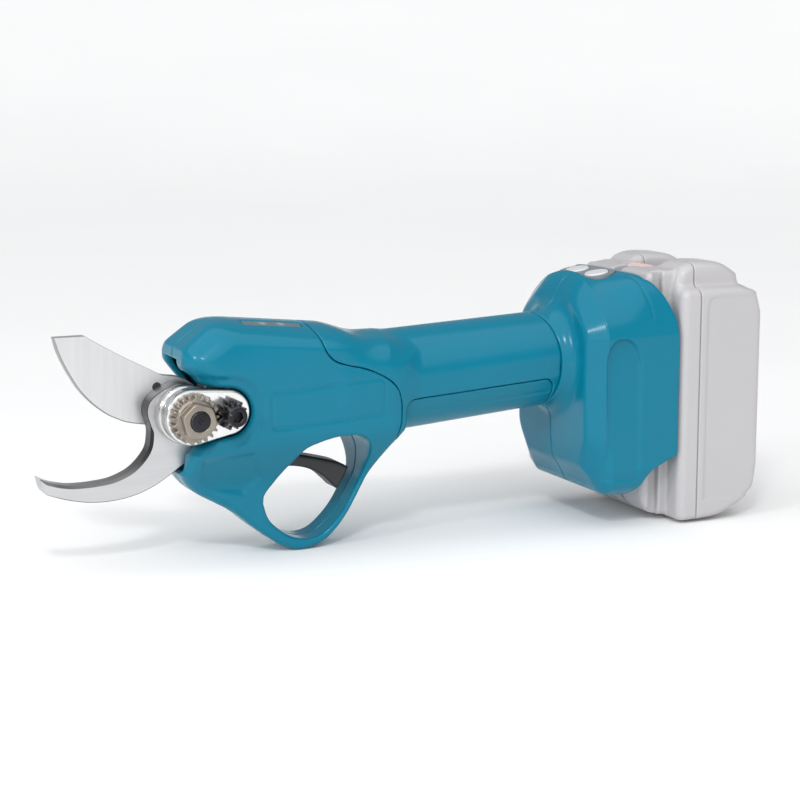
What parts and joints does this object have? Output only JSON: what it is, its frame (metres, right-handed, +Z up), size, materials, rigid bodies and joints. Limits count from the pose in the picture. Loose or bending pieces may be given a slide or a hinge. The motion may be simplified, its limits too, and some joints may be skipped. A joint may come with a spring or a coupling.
{
  "type": "battery electric pruner",
  "caption": "Cordless hand-held pruner: curved cutting blade and hook blade driven by a screw in the handle, guarded trigger, slide-on battery.",
  "frame": {"origin": "centre of the footprint, on the plane that the finger guard and the battery stand on", "axes": "+Z up, -X towards the blades, +X towards the battery, -Y the side with the toothed pivot nut"},
  "size_m": [0.3187, 0.075, 0.1155],
  "materials": {
    "teal_shell": "semi-gloss moulded nylon",
    "teal_grip": "satin moulded elastomer",
    "blade_steel": "ground and brushed",
    "polished_steel": "polished",
    "bronze_nut": "zinc-bronze plated, satin",
    "black_steel": "black oxide",
    "plain_steel": "turned",
    "cast_metal": "die cast",
    "laminations": "stacked sheet",
    "black_plastic": "fine textured",
    "smoke_window": "translucent smoke",
    "button_white": "smooth",
    "black_rubber": "matt",
    "board_green": "solder mask",
    "contact_brass": "plated",
    "lead_red": "insulation",
    "battery_grey": "satin, pale grey",
    "battery_button": "satin, pale red",
    "cell_wrap": "shrink sleeve",
    "spring_steel": "drawn wire"
  },
  "bodies": {
    "housing": {"head_cover_left": "teal_shell", "head_cover_right": "teal_shell", "handle_shell_left": "teal_shell", "handle_shell_right": "teal_shell", "grip_panel": "teal_grip", "battery_housing_left": "teal_shell", "battery_housing_right": "teal_shell", "fixed_blade": "blade_steel", "pivot_boss": "polished_steel", "gear_plate": "polished_steel", "pivot_bolt": "black_steel", "pivot_washer": "plain_steel", "lock_bolt": "black_steel", "blade_screws": "plain_steel", "screw_bearings": "plain_steel", "bearing_holder": "cast_metal", "ring_gear": "plain_steel", "motor_case": "cast_metal", "motor_stator": "laminations", "motor_bearings": "plain_steel", "trigger_pin": "plain_steel", "trigger_sensor": "board_green", "trigger_spring": "spring_steel", "indicator_window": "smoke_window", "indicator_board": "board_green", "button_panel": "black_plastic", "button_board": "board_green", "controller_board": "board_green", "terminal_block": "black_plastic", "terminal_blades": "contact_brass", "motor_leads": "lead_red", "battery_leads": "lead_red"},
    "blade": {"cutting_blade": "blade_steel", "blade_bumper": "black_rubber", "link_pin": "plain_steel"},
    "link": {"link_plates": "plain_steel"},
    "nut": {"ball_nut": "plain_steel", "nut_pin": "plain_steel"},
    "screw": {"ball_screw": "plain_steel", "planet_carrier": "plain_steel"},
    "planet_1": {"planet_gear_1": "plain_steel"},
    "planet_2": {"planet_gear_2": "plain_steel"},
    "planet_3": {"planet_gear_3": "plain_steel"},
    "rotor": {"motor_rotor": "laminations", "motor_shaft": "plain_steel", "sun_gear": "plain_steel"},
    "trigger_lever": {"trigger": "black_plastic"},
    "lock_nut": {"pivot_nut": "bronze_nut"},
    "lock_wheel": {"lock_pinion": "black_steel"},
    "power_key": {"power_button": "button_white"},
    "mode_key": {"mode_button": "button_white"},
    "battery": {"battery_case_front": "battery_grey", "battery_case_rear": "battery_grey", "battery_cells": "cell_wrap", "battery_contacts": "contact_brass"},
    "battery_key": {"battery_release_button": "battery_button", "battery_latch": "black_plastic"}
  },
  "joints": [
    {"name": "motor_spin", "type": "hinge", "parent": "housing", "child": "rotor", "pos_m": [0, 0, 0.068], "axis": [1, 0, 0], "range_deg": [0, 4617]},
    {"name": "screw_spin", "type": "hinge", "parent": "housing", "child": "screw", "pos_m": [-0.03, 0, 0.068], "axis": [1, 0, 0], "range_deg": [-5, 1031]},
    {"name": "nut_slide", "type": "slide", "parent": "housing", "child": "nut", "axis": [-1, 0, 0], "range_m": [-0.0001, 0.0115]},
    {"name": "blade_swing", "type": "hinge", "parent": "housing", "child": "blade", "pos_m": [-0.0988, 0, 0.0616], "axis": [0, -1, 0], "range_deg": [-0.2, 56.2]},
    {"name": "link_swing", "type": "hinge", "parent": "blade", "child": "link", "pos_m": [-0.08335, 0, 0.06982], "axis": [0, -1, 0], "range_deg": [-75.98, 0.5]},
    {"name": "planet_1_spin", "type": "hinge", "parent": "screw", "child": "planet_1", "pos_m": [-0.016, 0, 0.07475], "axis": [1, 0, 0], "range_deg": [-2877.8, 5]},
    {"name": "planet_2_spin", "type": "hinge", "parent": "screw", "child": "planet_2", "pos_m": [-0.016, -0.00585, 0.06463], "axis": [1, 0, 0], "range_deg": [-2877.8, 5]},
    {"name": "planet_3_spin", "type": "hinge", "parent": "screw", "child": "planet_3", "pos_m": [-0.016, 0.00585, 0.06463], "axis": [1, 0, 0], "range_deg": [-2877.8, 5]},
    {"name": "trigger_pull", "type": "hinge", "parent": "housing", "child": "trigger_lever", "pos_m": [-0.0625, 0, 0.0405], "axis": [0, -1, 0], "range_deg": [0, 14], "stiffness_Nm_per_rad": 0.4, "springref_deg": -8.59, "deforming": ["trigger_spring"]},
    {"name": "pivot_nut_spin", "type": "hinge", "parent": "housing", "child": "lock_nut", "pos_m": [-0.0988, -0.025, 0.0616], "axis": [0, 1, 0], "range_deg": [-180, 180]},
    {"name": "lock_pinion_spin", "type": "hinge", "parent": "housing", "child": "lock_wheel", "pos_m": [-0.08398, -0.025, 0.0626], "axis": [0, 1, 0], "range_deg": [-320, 320]},
    {"name": "power_press", "type": "slide", "parent": "housing", "child": "power_key", "axis": [0.2079, 0, -0.9781], "range_m": [0, 0.0008], "stiffness_N_per_m": 900, "springref_m": -0.0002},
    {"name": "mode_press", "type": "slide", "parent": "housing", "child": "mode_key", "axis": [0.2079, 0, -0.9781], "range_m": [0, 0.0008], "stiffness_N_per_m": 900, "springref_m": -0.0002},
    {"name": "battery_slide", "type": "slide", "parent": "housing", "child": "battery", "axis": [0, 0, 1], "range_m": [0, 0.086]},
    {"name": "battery_button_press", "type": "slide", "parent": "battery", "child": "battery_key", "axis": [1, 0, 0], "range_m": [0, 0.003], "stiffness_N_per_m": 600, "springref_m": -0.002}
  ],
  "couplings": [
    {"joint": "screw_spin", "follows": "motor_spin", "ratio": 0.22222},
    {"joint": "nut_slide", "follows": "motor_spin", "m_per_rad": 0.00014147},
    {"joint": "blade_swing", "follows": "motor_spin", "ratio": 0.012129},
    {"joint": "link_swing", "follows": "motor_spin", "ratio": -0.016348},
    {"joint": "planet_1_spin", "follows": "motor_spin", "ratio": -0.62222},
    {"joint": "planet_2_spin", "follows": "motor_spin", "ratio": -0.62222},
    {"joint": "planet_3_spin", "follows": "motor_spin", "ratio": -0.62222},
    {"joint": "lock_pinion_spin", "follows": "pivot_nut_spin", "ratio": -1.75}
  ]
}
